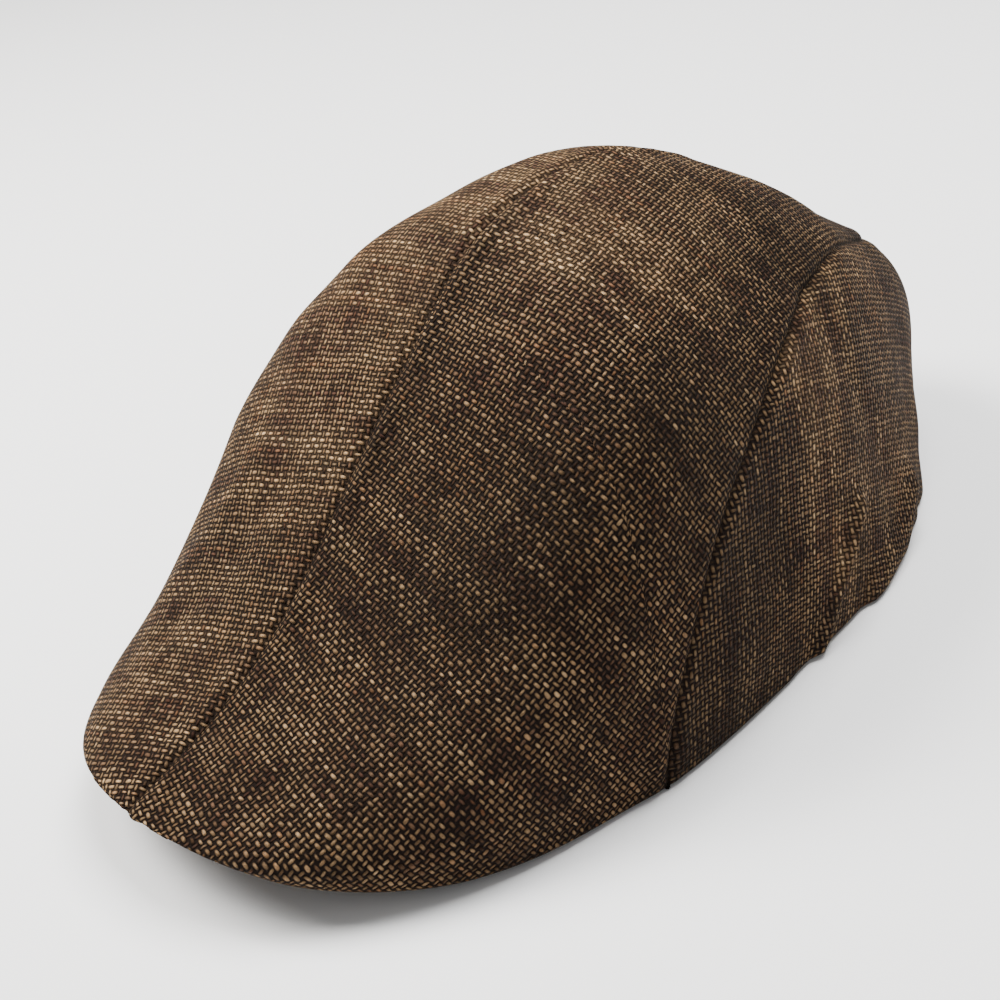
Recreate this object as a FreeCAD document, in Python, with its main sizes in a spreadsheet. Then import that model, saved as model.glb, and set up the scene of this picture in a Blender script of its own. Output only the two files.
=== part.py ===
import FreeCAD, Part
import math
import os

# A flat cap with a built-in bill, in millimetres. +Z is up, the bill points to -Y and the
# wearer's left is +X. The cap stands on the rim of its opening, on the plane z = 0, and the
# origin is the middle of its footprint.

Vector = FreeCAD.Vector
document = FreeCAD.newDocument("flat_cap")

sizes = {
    # overall form
    "cap_length": 284.0,
    "cap_width": 156.4,
    "crown_rise": 123.2,
    "back_tuck": 13.3,
    "tip_rise": 18.2,
    "edge_roll": 4.0,
    "nose": 2.5,
    # how far the outer cloth reaches below the rim plane before it is cut flat there
    "foot_trim": 2.0,
    # bill
    "bill_depth": 67.0,
    "horn_width": 11.0,
    # cloth and stiffener thicknesses
    "cloth": 1.0,
    "underbill_cloth": 0.8,
    "board": 1.4,
    "lining": 0.5,
    "band": 1.0,
    "elastic": 0.8,
    "label": 0.35,
    "thread": 0.45,
    # clearances between the layers, and how far the board and lining stop short of the rim
    "clearance": 0.35,
    "turn_in": 1.2,
    "lining_lift": 3.2,
    # band, elastic, labels and stitches
    "band_rise": 32.0,
    "elastic_rise": 20.0,
    "elastic_lift": 6.0,
    "elastic_length": 250.0,
    "size_label_length": 26.0,
    "size_label_rise": 16.0,
    "care_label_length": 24.0,
    "care_label_rise": 20.0,
    "care_label_place": 120.0,
    "label_lift": 7.0,
    "stitch_length": 3.0,
    "stitch_pitch": 5.0,
    "stitch_inset": 3.5,
    # room around the whole cap for the bodies that cut it
    "room": 60.0,
}

sheet = document.addObject("Spreadsheet::Sheet", "sizes")
for row, (alias, value) in enumerate(sizes.items(), start=1):
    sheet.set(f"A{row}", alias)
    sheet.set(f"B{row}", str(value))
    sheet.setAlias(f"B{row}", alias)
document.recompute()


def size(alias):
    return float(getattr(sheet, alias))


half_length = size("cap_length") / 2
half_width = size("cap_width") / 2
tip_y = -half_length + size("nose")
back_y = half_length - size("back_tuck")

# Centre line of the crown, from the bill's front edge to the foot of the back, at even steps. The
# first value is a share of the half length, the second a share of the crown's rise. The two points
# at the front edge take their heights from the bill instead.
crown_shape = [(-0.692, 0.330), (-0.368, 0.661), (-0.154, 0.882), (0.016, 0.972),
               (0.318, 0.977), (0.705, 0.708), (0.998, 0.364)]
# Plan of the rim on one side at the same steps: share of the half width, share of the half length.
rim_shape = [(0.565, -0.870), (0.872, -0.615), (0.967, -0.402), (1.000, -0.210), (0.960, 0.228),
             (0.844, 0.521), (0.655, 0.733), (0.391, 0.863)]
# How square each cross arch is, from the front to the back: 2 is an ellipse.
arch_power = [2.24, 3.15, 2.01, 3.32]
# Side seam in side view: share of the half length, share of the crown's rise.
seam_shape = [(-0.300, -0.2), (-0.288, 0.07), (-0.210, 0.265), (-0.098, 0.432), (0.050, 0.550),
              (0.245, 0.652), (0.490, 0.694), (0.660, 0.650), (0.810, 0.578), (1.15, 0.38)]

station_count = 40
arch_count = 14
arch_fullness = 0.7
wall_join = 0.33
trim_start = 0.3


def clamped_spline(values, start_slope, end_slope):
    """Cubic through evenly spaced values over 0..1, with its end slopes given."""
    last = len(values) - 1
    step = 1 / last
    slopes = [start_slope] + [0.0] * (last - 1) + [end_slope]
    factor = [0.0] * (last + 1)
    for i in range(1, last):
        load = 3 * (values[i + 1] - values[i - 1]) / step
        if i == last - 1:
            load -= end_slope
        pivot = 4 - factor[i - 1]
        factor[i] = 1 / pivot
        slopes[i] = (load - slopes[i - 1]) / pivot
    for i in range(last - 2, 0, -1):
        slopes[i] -= factor[i] * slopes[i + 1]

    def value_at(share):
        i = min(int(share * last), last - 1)
        u = share * last - i
        a, b = values[i], values[i + 1]
        ma, mb = slopes[i] * step, slopes[i + 1] * step
        return (a * (2 * u**3 - 3 * u**2 + 1) + ma * (u**3 - 2 * u**2 + u)
                + b * (3 * u**2 - 2 * u**3) + mb * (u**3 - u**2))
    return value_at


crown_y = clamped_spline(
    [tip_y, tip_y + 0.2] + [half_length * y for y, z in crown_shape] + [back_y], 0, 0)
crown_z = clamped_spline(
    [size("tip_rise"), size("tip_rise") + size("edge_roll")]
    + [size("crown_rise") * z for y, z in crown_shape] + [-size("foot_trim")],
    0.49 * size("crown_rise"), -2.44 * size("crown_rise"))
rim_x = clamped_spline(
    [0] + [half_width * x for x, y in rim_shape] + [0], 5.75 * half_width, -5.37 * half_width)
rim_y = clamped_spline(
    [tip_y] + [half_length * y for x, y in rim_shape] + [back_y], 0, 0)
stations = [i / station_count for i in range(station_count + 1)]
widest = max(stations, key=rim_x)


def bill_height(x):
    """Height of the bill's lower edge, an arch across the cap that is flat at its sides."""
    share = min(1, abs(x) / half_width)
    return size("tip_rise") * (0.5 + 0.5 * math.cos(math.pi * share)) ** arch_fullness


def power_at(share):
    place = share * (len(arch_power) - 1)
    i = min(int(place), len(arch_power) - 2)
    return arch_power[i] + (arch_power[i + 1] - arch_power[i]) * (place - i)


def inset(curve, share, depth):
    """Point of a plane curve moved depth to the inner side of the cap."""
    step = 0.5 / station_count
    a, b = max(share - step, 0), min(share + step, 1)
    along = [curve[k](b) - curve[k](a) for k in (0, 1)]
    length = math.hypot(*along)
    side = curve[2]
    return (curve[0](share) - side * depth * along[1] / length,
            curve[1](share) + side * depth * along[0] / length)


rim = (rim_x, rim_y, 1)
crown = (crown_y, crown_z, -1)
widest_y = rim_y(widest)
arc_y = tip_y + size("bill_depth")


def arc_point(share, depth):
    """Front arc of the head opening, from the middle of the bill to the widest place."""
    angle = math.pi / 2 * share / widest
    return ((half_width - depth) * math.sin(angle),
            widest_y - (widest_y - arc_y - depth) * math.cos(angle))


def inner_rim(share, depth):
    return arc_point(share, depth) if share < widest else inset(rim, share, depth)


def inner_crown(share, depth):
    """Centre line of the inner layers: up from the bill's root, then close under the crown."""
    if share >= wall_join:
        return inset(crown, share, depth)
    near, join = 1e-3, inset(crown, wall_join, depth)
    after = inset(crown, wall_join + near, depth)
    start = (arc_y + depth, size("tip_rise"))
    leave = (0, 0.9 * (join[1] - start[1]))
    arrive = [0.5 * wall_join * (after[k] - join[k]) / near for k in (0, 1)]
    u = share / wall_join
    return [start[k] * (2 * u**3 - 3 * u**2 + 1) + leave[k] * (u**3 - 2 * u**2 + u)
            + join[k] * (3 * u**2 - 2 * u**3) + arrive[k] * (u**3 - u**2) for k in (0, 1)]


def base_height(share, x):
    return bill_height(x) if share <= widest else 0


def outer_arch(share, depth):
    """Rim point, top point and base height of the outer form's arch at a station."""
    if share in (0, 1):
        tuck = depth if share == 0 else -depth
        foot, top = (0, rim_y(share) + tuck), (crown_y(share) + tuck, crown_z(share))
    else:
        foot, top = inset(rim, share, depth), inset(crown, share, depth)
    u = min(1, max(0, (share - trim_start) / (widest - trim_start)))
    return foot, top, base_height(share, rim_x(share)) - size("foot_trim") * (3 * u**2 - 2 * u**3)


def inner_arch(share, depth):
    """The same for the inner layers, which stop at the head opening instead of filling the bill."""
    foot, top = inner_rim(share, depth), inner_crown(share, depth)
    if share == 1:
        foot, top = (0, rim_y(1) - depth), (rim_y(1) - depth, 0)
    return foot, top, base_height(share, foot[0])


def arch_point(arch, share, across, up):
    foot, top, base = arch
    return Vector(foot[0] * across, foot[1] + (top[0] - foot[1]) * up ** (0.6 * power_at(share)),
                  base + (top[1] - base) * up)


def closing_share(arch_at, depth, rise, outside):
    """Share, from the widest place towards one end, where the form is only rise high."""
    inside = widest
    if rise == 0:
        return outside
    for _ in range(40):
        middle = (inside + outside) / 2
        foot, top, base = arch_at(middle, depth)
        if top[1] - base > rise:
            inside = middle
        else:
            outside = middle
    return inside


def arch_rows(arch_at, depth, lift=0):
    """Points of half a form, from lift above the rim to the centre line, a row for each arch."""
    start, end = [closing_share(arch_at, depth, lift, outside) for outside in (0, 1)]
    rows = []
    for station in stations:
        share = start + (end - start) * station
        arch, power, row = arch_at(share, depth), power_at(share), []
        low = min(1.0, lift / max(arch[1][1] - arch[2], 1e-9)) ** power
        first = math.atan2(low ** (1 / power), (1 - low) ** (1 / power))
        if lift and station in (0, 1):
            first = math.pi / 2
        for k in range(arch_count + 1):
            angle = first + (math.pi / 2 - first) * k / arch_count
            across = max(0.0, math.cos(angle)) if k < arch_count and first < math.pi / 2 else 0.0
            up = math.sin(angle)
            reach = (across ** power + up ** power) ** (1 / power)
            row.append(arch_point(arch, share, across / reach, up / reach))
        rows.append(row)
    return rows


def surface_through(rows):
    """Cubic surface through rows of points. A first or last row may be a single point."""
    across_shares = [k / (len(rows[0]) - 1) for k in range(len(rows[0]))]
    along_shares = [k / (len(rows) - 1) for k in range(len(rows))]
    row_poles = []
    for row in rows:
        if (row[0] - row[-1]).Length + (row[0] - row[1]).Length < 1e-9:
            row_poles.append(None)
            continue
        across = Part.BSplineCurve()
        across.interpolate(Points=row, Parameters=across_shares)
        row_poles.append(across.getPoles())
    count = across.NbPoles
    row_poles = [poles or [row[0]] * count for poles, row in zip(row_poles, rows)]
    columns = []
    for k in range(count):
        along = Part.BSplineCurve()
        along.interpolate(Points=[poles[k] for poles in row_poles], Parameters=along_shares)
        columns.append(along.getPoles())
    grid = [[column[i] for column in columns] for i in range(len(columns[0]))]
    surface = Part.BSplineSurface()
    surface.buildFromPolesMultsKnots(grid, along.getMultiplicities(), across.getMultiplicities(),
                                     along.getKnots(), across.getKnots(), False, False, 3, 3)
    return surface


def strip_between(first, second):
    """Ruled face between two splines that share their knots."""
    strip = Part.BSplineSurface()
    strip.buildFromPolesMultsKnots([first.getPoles(), second.getPoles()], [2, 2],
                                   first.getMultiplicities(), [0, 1], first.getKnots(),
                                   False, False, 1, 3)
    return strip.toShape()


def sheet_solid(outer_rows, inner_rows):
    """Closed solid between two surfaces with strips along every edge that isn't a point."""
    surfaces = [surface_through(rows) for rows in (outer_rows, inner_rows)]
    faces = [surface.toShape() for surface in surfaces]
    start_u, end_u, start_v, end_v = surfaces[0].bounds()
    edges = [[surface.vIso(value) for surface in surfaces] for value in (start_v, end_v)]
    for row, value in ((0, start_u), (-1, end_u)):
        if (outer_rows[row][0] - outer_rows[row][1]).Length > 1e-9:
            edges.append([surface.uIso(value) for surface in surfaces])
    faces += [strip_between(outer_edge, inner_edge) for outer_edge, inner_edge in edges]
    shell = Part.makeShell(faces)
    shell.sewShape()
    solid = Part.Solid(shell)
    if solid.Volume < 0:
        solid.reverse()
    return solid


def computed(name, shape):
    thing = document.addObject("Part::Feature", name)
    thing.Shape = shape
    return thing


def split_by_seam(name, whole, labels):
    """Cut a half skin along the side seam and mirror both pieces: four nodes."""
    front = document.addObject("Part::Cut", name + "_front")
    front.Base, front.Tool = whole, side_region
    back = document.addObject("Part::Common", name + "_back")
    back.Base, back.Tool = whole, side_region
    for piece, label in zip((front, back), labels):
        mirror = document.addObject("Part::Mirroring", piece.Name + "_mirror")
        mirror.Source = piece
        mirror.Normal = Vector(1, 0, 0)
        add_node(piece, label + "_left")
        add_node(mirror, label + "_right")


nodes = []


def add_node(piece, label):
    piece.Label = label
    nodes.append(piece)


# Side seam: everything below and behind this line belongs to the side panels.
seam = Part.BSplineCurve()
seam.interpolate(Points=[Vector(0, half_length * y, size("crown_rise") * z) for y, z in seam_shape])
foot_z = -size("room")
corners = [seam.EndPoint, Vector(0, seam.EndPoint.y, foot_z),
           Vector(0, seam.StartPoint.y, foot_z), seam.StartPoint]
seam_outline = computed("seam_outline", Part.Wire(
    [seam.toShape()] + [Part.makeLine(a, b) for a, b in zip(corners, corners[1:])]))
side_region = document.addObject("Part::Extrusion", "side_region")
side_region.Base = seam_outline
side_region.DirMode = "Custom"
side_region.Dir = Vector(1, 0, 0)
side_region.Solid = True
side_region.setExpression("LengthFwd", f"{sheet.Name}.cap_width + {sheet.Name}.room")

# Outer cloth: two top panels that run from the bill's edge to the back, and two side panels.
# Its foot is cut flat on the rim plane, which is the face that the cap stands on.
full_skin = computed("full_skin", sheet_solid(arch_rows(outer_arch, 0),
                                              arch_rows(outer_arch, size("cloth"))))
ground = document.addObject("Part::Box", "ground")
ground.setExpression("Length", f"{sheet.Name}.cap_width / 2 + 2 * {sheet.Name}.room")
ground.setExpression("Width", f"{sheet.Name}.cap_length + 2 * {sheet.Name}.room")
ground.setExpression("Height", f"{sheet.Name}.room")
ground.Placement.Base = Vector(-size("room"), -half_length - size("room"), -size("room"))
outer_skin = document.addObject("Part::Cut", "outer_skin")
outer_skin.Base, outer_skin.Tool = full_skin, ground
split_by_seam("outer", outer_skin, ("top_panel", "side_panel"))

# Lining: four pieces close under the outer panels.
# the foot's trim leans the outer cloth in by about a tenth of itself, and the lining gives way
trim_lean = 0.12
lining_depth = size("cloth") + size("clearance") + trim_lean * size("foot_trim")
lining_skin = computed("lining_skin", sheet_solid(
    *[arch_rows(inner_arch, depth, size("lining_lift"))
      for depth in (lining_depth, lining_depth + size("lining"))]))
split_by_seam("lining", lining_skin, ("lining_top", "lining_side"))


def bill_rows(rise, edge_inset, arc_inset):
    """Rows from the head opening to the bill's edge, on the arch that the bill bends to."""
    steps, lines = 40, 4
    horn = widest
    while rim_y(horn) - arc_point(horn, 0)[1] > -size("horn_width"):
        horn -= 0.25 / station_count
    rows = []
    for k in range(steps + 1):
        share = horn * abs(2 * k / steps - 1)
        side = math.copysign(1, 2 * k / steps - 1)
        back, front = arc_point(share, arc_inset), inset(rim, share, edge_inset)
        row = []
        for line in range(lines + 1):
            x = side * (back[0] + (front[0] - back[0]) * line / lines)
            y = back[1] + (front[1] - back[1]) * line / lines
            row.append(Vector(x, y, bill_height(x) + rise))
        rows.append(row)
    return rows


def bill_sheet(low, thickness, edge_inset, arc_inset):
    return sheet_solid(bill_rows(low, edge_inset, arc_inset),
                       bill_rows(low + thickness, edge_inset, arc_inset))


# Bill: the cover on its underside, and the stiff board that lies on the cover.
cover_low = size("clearance") / 2
board_low = cover_low + size("underbill_cloth") + size("clearance") / 2
edge_inset = size("cloth") + size("clearance")
add_node(computed("cover", bill_sheet(cover_low, size("underbill_cloth"), edge_inset, 0)),
         "underbill_cover")
add_node(computed("board", bill_sheet(board_low, size("board"), edge_inset + size("turn_in"),
                                      -size("turn_in"))), "bill_board")


def wall_line(rise, depth):
    """The inner wall's line at a height above the rim, on the left side: the stretch from the
    front middle to the widest place, and the stretch from there to the back middle."""
    def point(share):
        foot, top, base = inner_arch(share, depth)
        power = power_at(share)
        up = min(1.0, rise / max(top[1] - base, 1e-9))
        flat = arch_point((foot, top, base), share, (1 - up ** power) ** (1 / power), up)
        return Vector(flat.x, flat.y, base + rise)

    stretches = []
    for end in (0, 1):
        limit = closing_share(inner_arch, depth, rise, end)
        ease = 2.4 if rise else 1
        line = [point(limit + (widest - limit) * (k / 120) ** ease) for k in range(121)]
        line[0].x = 0
        stretches.append(line)
    return stretches[0], stretches[1][::-1]


def flipped(points):
    return [Vector(-point.x, point.y, point.z) for point in reversed(points)]


def front_line(rise, depth):
    ahead = wall_line(rise, depth)[0]
    return flipped(ahead)[:-1] + ahead


def back_line(rise, depth):
    behind = wall_line(rise, depth)[1]
    return behind + flipped(behind)[1:]


def spaced(points, count, start=0.0, end=None):
    """Evenly spaced points along a line, between two distances from its start."""
    travelled = [0.0]
    for a, b in zip(points, points[1:]):
        travelled.append(travelled[-1] + (b - a).Length)
    end = travelled[-1] if end is None else end
    result, i = [], 0
    for k in range(count):
        goal = start + (end - start) * k / (count - 1)
        while i < len(points) - 2 and travelled[i + 1] < goal:
            i += 1
        step = max(travelled[i + 1] - travelled[i], 1e-9)
        result.append(points[i] + (points[i + 1] - points[i]) * ((goal - travelled[i]) / step))
    return result


def line_length(points):
    return sum((b - a).Length for a, b in zip(points, points[1:]))


def wall_sheet(line_at, low, high, depth, thickness, place=None, length=None):
    """Sheet on the inner wall between two heights. Its place is the distance to its middle from
    the line's start, and it runs the whole line when it has no length."""
    count = 48 if length is None else max(6, int(length / 5))
    sides = []
    for side_depth in (depth, depth + thickness):
        rows = []
        for k in range(7):
            line = line_at(low + (high - low) * k / 6, side_depth)
            if length is None:
                rows.append(spaced(line, count))
                continue
            middle = line_length(line) / 2 if place is None else place
            rows.append(spaced(line, count, middle - length / 2, middle + length / 2))
        sides.append(rows)
    return sheet_solid(*sides)


# Flat elastic round the back, between the lining and the band that gathers over it.
elastic_depth = lining_depth + size("lining") + size("clearance")
elastic_high = size("elastic_lift") + size("elastic_rise")
add_node(computed("elastic", wall_sheet(back_line, size("elastic_lift"), elastic_high, elastic_depth,
                                        size("elastic"), length=size("elastic_length"))),
         "back_elastic")

# Head band: a front piece over the bill and a back piece that covers the elastic.
band_depth = elastic_depth + size("elastic") + size("clearance")
for line_at, label in ((front_line, "sweatband_front"), (back_line, "sweatband_back")):
    add_node(computed(label + "_sheet", wall_sheet(line_at, size("clearance"), size("band_rise"),
                                                   band_depth, size("band"))), label)

# Two woven labels on the band: the size label at the back, the care label on the left side.
label_depth = band_depth + size("band") + size("clearance") / 3
for name, place in (("size_label", None), ("care_label", size("care_label_place"))):
    high = size("label_lift") + size(name + "_rise")
    add_node(computed(name + "_sheet", wall_sheet(back_line, size("label_lift"), high, label_depth,
                                                  size("label"), place, size(name + "_length"))),
             name)


def stitch_row(line):
    """Short round stitches a pitch apart along a line."""
    count = int(line_length(line) / size("stitch_pitch"))
    points = spaced(line, count)
    stitches = []
    for a, b in zip(points, points[1:]):
        way = (b - a).normalize()
        start = (a + b) * 0.5 - way * (size("stitch_length") / 2)
        stitches.append(Part.makeCylinder(size("thread") / 2, size("stitch_length"), start, way))
    return stitches


# Thread: a row round the foot of the band, and a row along the top of the elastic's casing.
thread_depth = band_depth + size("band") + size("thread") / 2 + size("clearance") / 5
foot_rise = size("stitch_inset")
casing_rise = size("band_rise") - size("stitch_inset")
foot_row = stitch_row(front_line(foot_rise, thread_depth)) + stitch_row(back_line(foot_rise, thread_depth))
add_node(computed("foot_row", Part.makeCompound(foot_row)), "band_stitches")
add_node(computed("casing_row", Part.makeCompound(stitch_row(back_line(casing_rise, thread_depth)))),
         "casing_stitches")

document.recompute()

for thing in document.Objects:
    if "Invalid" in thing.State or "Error" in thing.State:
        raise RuntimeError(f"{thing.Name} failed: {thing.State}")
for node in nodes:
    if node.Shape.isNull() or not node.Shape.isValid() or not node.Shape.Solids:
        raise RuntimeError(f"{node.Label} has no valid solid")

os.makedirs("parts", exist_ok=True)
for node in nodes:
    node.Shape.exportStep(f"parts/{node.Label}.step")
    box = node.Shape.BoundBox
    print(f"{node.Label}: {len(node.Shape.Solids)} solid(s), {node.Shape.Volume:.0f} mm3, "
          f"x {box.XMin:.1f} {box.XMax:.1f} y {box.YMin:.1f} {box.YMax:.1f} z {box.ZMin:.2f} {box.ZMax:.1f}")
print(f"head opening: {line_length(front_line(0, band_depth)) + line_length(back_line(0, band_depth)):.0f} mm round")
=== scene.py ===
import math
import bpy
import numpy as np
from mathutils import Matrix, Vector


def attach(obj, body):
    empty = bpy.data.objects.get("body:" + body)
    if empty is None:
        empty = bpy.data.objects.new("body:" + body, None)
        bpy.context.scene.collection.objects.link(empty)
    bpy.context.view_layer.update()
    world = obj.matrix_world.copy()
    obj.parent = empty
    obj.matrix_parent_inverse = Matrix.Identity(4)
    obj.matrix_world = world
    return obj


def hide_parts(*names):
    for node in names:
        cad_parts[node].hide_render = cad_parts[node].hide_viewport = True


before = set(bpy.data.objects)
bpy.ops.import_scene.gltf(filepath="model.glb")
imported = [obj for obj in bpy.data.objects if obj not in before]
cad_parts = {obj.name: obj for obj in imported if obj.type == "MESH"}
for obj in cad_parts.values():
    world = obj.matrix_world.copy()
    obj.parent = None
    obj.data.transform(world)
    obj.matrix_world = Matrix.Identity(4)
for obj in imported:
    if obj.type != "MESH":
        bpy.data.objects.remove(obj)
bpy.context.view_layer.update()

# A flat cap in coarse brown linen. +Z is up, the bill points to -Y and the wearer's left is +X.
# Lengths are in millimetres until a mesh is made, which is in metres.
millimetre = 0.001

form = {
    "length": 284.0, "width": 156.4, "crownRise": 123.2, "backTuck": 13.3, "tipRise": 18.2,
    "edgeRoll": 4.0, "nose": 2.5, "footTrim": 2.0, "billDepth": 67.0, "hornWidth": 11.0,
    # centre line of the crown: shares of the half length and of the rise
    "crown": [(-0.692, 0.330), (-0.368, 0.661), (-0.154, 0.882), (0.016, 0.972),
              (0.318, 0.977), (0.705, 0.708), (0.998, 0.364)],
    # plan of the rim: shares of the half width and of the half length
    "rim": [(0.565, -0.870), (0.872, -0.615), (0.967, -0.402), (1.000, -0.210), (0.960, 0.228),
            (0.844, 0.521), (0.655, 0.733), (0.391, 0.863)],
    # how square the cross arches are, front to back
    "archPower": [2.24, 3.15, 2.01, 3.32],
    # side seam from the side: shares of the half length and of the rise
    "seam": [(-0.300, -0.2), (-0.288, 0.07), (-0.210, 0.265), (-0.098, 0.432), (0.050, 0.550),
             (0.245, 0.652), (0.490, 0.694), (0.660, 0.650), (0.810, 0.578), (1.15, 0.38)],
    "archFullness": 0.7, "wallJoin": 0.33,
}

halfLength = form["length"] / 2
halfWidth = form["width"] / 2
tipY = -halfLength + form["nose"]
backY = halfLength - form["backTuck"]
rise = form["crownRise"]


def clampedSpline(values, startSlope, endSlope):
    last = len(values) - 1
    step = 1 / last
    slopes = [startSlope] + [0.0] * (last - 1) + [endSlope]
    factor = [0.0] * (last + 1)
    for i in range(1, last):
        load = 3 * (values[i + 1] - values[i - 1]) / step
        if i == last - 1:
            load -= endSlope
        pivot = 4 - factor[i - 1]
        factor[i] = 1 / pivot
        slopes[i] = (load - slopes[i - 1]) / pivot
    for i in range(last - 2, 0, -1):
        slopes[i] -= factor[i] * slopes[i + 1]
    heights, slopes = np.array(values, float), np.array(slopes)

    def valueAt(share):
        place = np.asarray(share, float) * last
        i = np.clip(place.astype(int), 0, last - 1)
        u = place - i
        return (heights[i] * (2 * u**3 - 3 * u**2 + 1) + slopes[i] * step * (u**3 - 2 * u**2 + u)
                + heights[i + 1] * (3 * u**2 - 2 * u**3) + slopes[i + 1] * step * (u**3 - u**2))
    return valueAt


crownY = clampedSpline([tipY, tipY + 0.2] + [halfLength * y for y, z in form["crown"]] + [backY], 0, 0)
crownZ = clampedSpline([form["tipRise"], form["tipRise"] + form["edgeRoll"]]
                       + [rise * z for y, z in form["crown"]] + [-form["footTrim"]],
                       0.49 * rise, -2.44 * rise)
rimX = clampedSpline([0] + [halfWidth * x for x, y in form["rim"]] + [0],
                     5.75 * halfWidth, -5.37 * halfWidth)
rimY = clampedSpline([tipY] + [halfLength * y for x, y in form["rim"]] + [backY], 0, 0)
widest = max([k / 40 for k in range(41)], key=lambda share: float(rimX(share)))
widestY = float(rimY(widest))
arcY = tipY + form["billDepth"]
seamKnots = [(halfLength * y, rise * z) for y, z in form["seam"]]
seamShares = np.linspace(0, 1, 300)
seamY = clampedSpline([y for y, z in seamKnots], 5, 500)(seamShares)
seamZ = clampedSpline([z for y, z in seamKnots], 320, -260)(seamShares)
seamY = np.maximum.accumulate(seamY + seamShares * 1e-3)


def billHeight(x):
    share = np.minimum(1, np.abs(x) / halfWidth)
    return form["tipRise"] * (0.5 + 0.5 * np.cos(np.pi * share)) ** form["archFullness"]


def powerAt(share):
    return np.interp(np.asarray(share) * 3, range(4), form["archPower"])


def insetCurve(curve, share, depth):
    step = 0.0125
    a, b = np.maximum(share - step, 0), np.minimum(share + step, 1)
    along = [curve[k](b) - curve[k](a) for k in (0, 1)]
    length = np.maximum(np.hypot(*along), 1e-9)
    return (curve[0](share) - curve[2] * depth * along[1] / length,
            curve[1](share) + curve[2] * depth * along[0] / length)


rim = (rimX, rimY, 1)
crown = (crownY, crownZ, -1)


def arcPoint(share, depth):
    angle = np.pi / 2 * share / widest
    return ((halfWidth - depth) * np.sin(angle), widestY - (widestY - arcY - depth) * np.cos(angle))


def innerCrown(share, depth):
    near = 1e-3
    join = insetCurve(crown, np.array(form["wallJoin"]), depth)
    after = insetCurve(crown, np.array(form["wallJoin"] + near), depth)
    start = (arcY + depth, form["tipRise"])
    leave = (0, 0.9 * (join[1] - start[1]))
    u = np.minimum(share / form["wallJoin"], 1)
    wall = [start[k] * (2 * u**3 - 3 * u**2 + 1) + leave[k] * (u**3 - 2 * u**2 + u)
            + join[k] * (3 * u**2 - 2 * u**3)
            + 0.5 * form["wallJoin"] * (after[k] - join[k]) / near * (u**3 - u**2) for k in (0, 1)]
    over = insetCurve(crown, share, depth)
    return [np.where(share >= form["wallJoin"], over[k], wall[k]) for k in (0, 1)]


def outerArch(share, depth):
    foot, top = insetCurve(rim, share, depth), insetCurve(crown, share, depth)
    return foot, top, np.where(share <= widest, billHeight(foot[0]), 0)


def innerArch(share, depth):
    arc, side = arcPoint(share, depth), insetCurve(rim, share, depth)
    foot = [np.where(share < widest, arc[k], side[k]) for k in (0, 1)]
    return foot, innerCrown(share, depth), np.where(share <= widest, billHeight(foot[0]), 0)


# Points of the form's left half: a row of angles for each share along the cap
def formPoints(archAt, depth, shares, angles):
    foot, top, base = archAt(shares, depth)
    power = powerAt(shares)[:, None]
    across, up = np.maximum(np.cos(angles), 0), np.sin(angles)
    reach = (across ** power + up ** power) ** (1 / power)
    across, up = across / reach, up / reach
    return np.stack([foot[0][:, None] * across,
                     foot[1][:, None] + (top[0] - foot[1])[:, None] * up ** (0.6 * power),
                     base[:, None] + (top[1] - base)[:, None] * up], axis=2)


def aboveSeam(points):
    line = np.interp(points[..., 1], np.r_[seamY[0] - 5, seamY], np.r_[-400, seamZ])
    return points[..., 2] - line


# Share between low and high where a test turns from true to false
def crossing(test, low, high):
    for _ in range(40):
        middle = (low + high) / 2
        low, high = (middle, high) if test(middle) else (low, middle)
    return low


def eased(count, amount):
    u = np.linspace(0, 1, count)
    return (1 - amount) * u + amount * (0.5 - 0.5 * np.cos(np.pi * u))


# Grid over one left panel: along the cap by up from the rim or seam to the centre line
def panelGrid(archAt, depth, lift, part, rows, columns):
    def height(share):
        _, top, base = archAt(np.array([share]), depth)
        return float(top[1][0] - base[0])
    start = crossing(lambda share: height(share) > lift, widest, 0) if lift else 0.0
    end = crossing(lambda share: height(share) > lift, widest, 1) if lift else 1.0

    def first(shares):
        _, top, base = archAt(shares, depth)
        power = powerAt(shares)
        low = np.minimum(1, lift / np.maximum(top[1] - base, 1e-9)) ** power
        return np.arctan2(low ** (1 / power), (1 - low) ** (1 / power))

    def stateAt(share, which):
        shares = np.array([share])
        angle = first(shares) if which == "foot" else np.array([np.pi / 2])
        return float(aboveSeam(formPoints(archAt, depth, shares, angle[:, None]))[0, 0])
    front = crossing(lambda share: stateAt(share, "foot") > 0, start + 0.05, widest + 0.1)
    back = crossing(lambda share: stateAt(share, "centre") > 0, 0.6, end)
    between = front + (back - front) * eased(rows // 2 + 1, 1)
    if part == "top":
        shares = np.r_[np.linspace(start, front, rows - rows // 2 + 1)[:-1], between]
    else:
        late = np.linspace(0, 1, rows - rows // 2 + 1) ** 1.5
        shares = np.r_[between[:-1], back + (end - back) * late]
    low = first(shares)
    trial = low[:, None] + (np.pi / 2 - low)[:, None] * np.linspace(0, 1, 500)
    over = aboveSeam(formPoints(archAt, depth, shares, trial))
    k = np.clip(np.argmax(over >= 0, axis=1), 1, 499)
    index = np.arange(len(shares))
    a, b = over[index, k - 1], over[index, k]
    before, after = trial[index, k - 1], trial[index, k]
    split = before + (after - before) * np.clip(a / (a - b + 1e-12), 0, 1)
    split = np.where(shares <= front, low, np.where(shares >= back, np.pi / 2, split))
    spacing = eased(columns + 1, 0.6)
    if part == "top":
        angles = split[:, None] + (np.pi / 2 - split)[:, None] * spacing
    else:
        angles = low[:, None] + (split - low)[:, None] * spacing
    return formPoints(archAt, depth, shares, angles)


# Mesh making


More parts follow.
